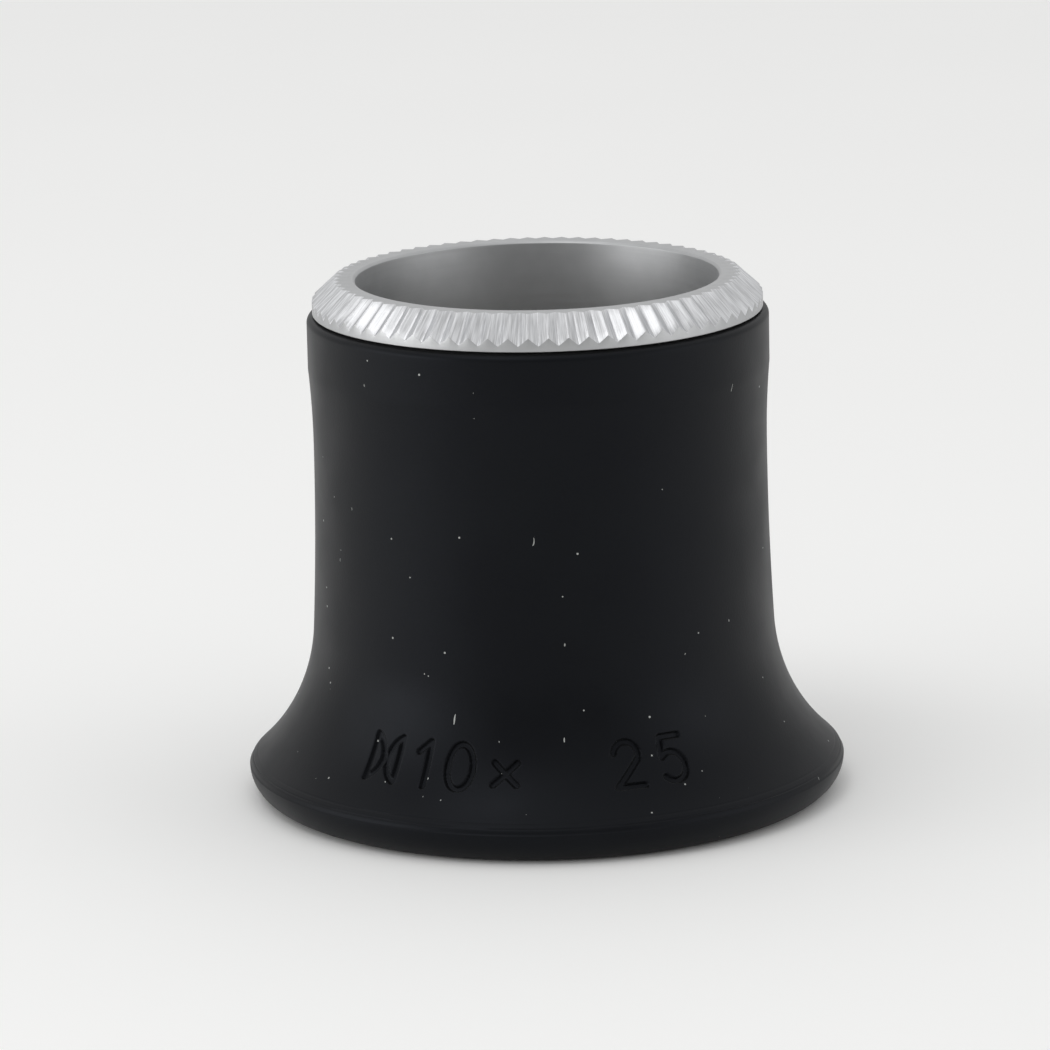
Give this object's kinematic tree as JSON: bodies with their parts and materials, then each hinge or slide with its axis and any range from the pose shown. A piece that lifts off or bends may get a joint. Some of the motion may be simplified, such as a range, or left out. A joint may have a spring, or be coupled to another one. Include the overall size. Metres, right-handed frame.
{
  "type": "jewelers loupe",
  "caption": "Eye-socket loupe: flared black cup, air-spaced pair of plano-convex lenses, fluted aluminium bezel on a fine screw thread.",
  "frame": {"origin": "centre of the eye rim's resting plane, on the optical axis", "axes": "+Z along the optical axis, from the eye rim to the bezel; the loupe stands on its eye rim"},
  "size_m": [0.036, 0.036, 0.0315],
  "materials": {
    "cup_plastic": "fine satin moulded black plastic",
    "lens_glass": "polished, coated",
    "spacer_aluminium": "matt black anodised",
    "slip_nylon": "natural nylon",
    "bezel_aluminium": "satin clear anodised"
  },
  "bodies": {
    "cup": {"eye_cup": "cup_plastic", "rear_lens": "lens_glass", "spacer_ring": "spacer_aluminium", "front_lens": "lens_glass"},
    "slip": {"slip_ring": "slip_nylon"},
    "ring": {"bezel": "bezel_aluminium"}
  },
  "joints": [
    {"name": "bezel_lift", "type": "slide", "parent": "cup", "child": "slip", "axis": [0, 0, 1], "range_m": [0, 0.00425]},
    {"name": "bezel_turn", "type": "hinge", "parent": "slip", "child": "ring", "pos_m": [0, 0, 0.0269], "axis": [0, 0, 1], "range_deg": [0, 1530]}
  ],
  "couplings": [
    {"joint": "bezel_turn", "follows": "bezel_lift", "rad_per_m": 6283.2}
  ]
}
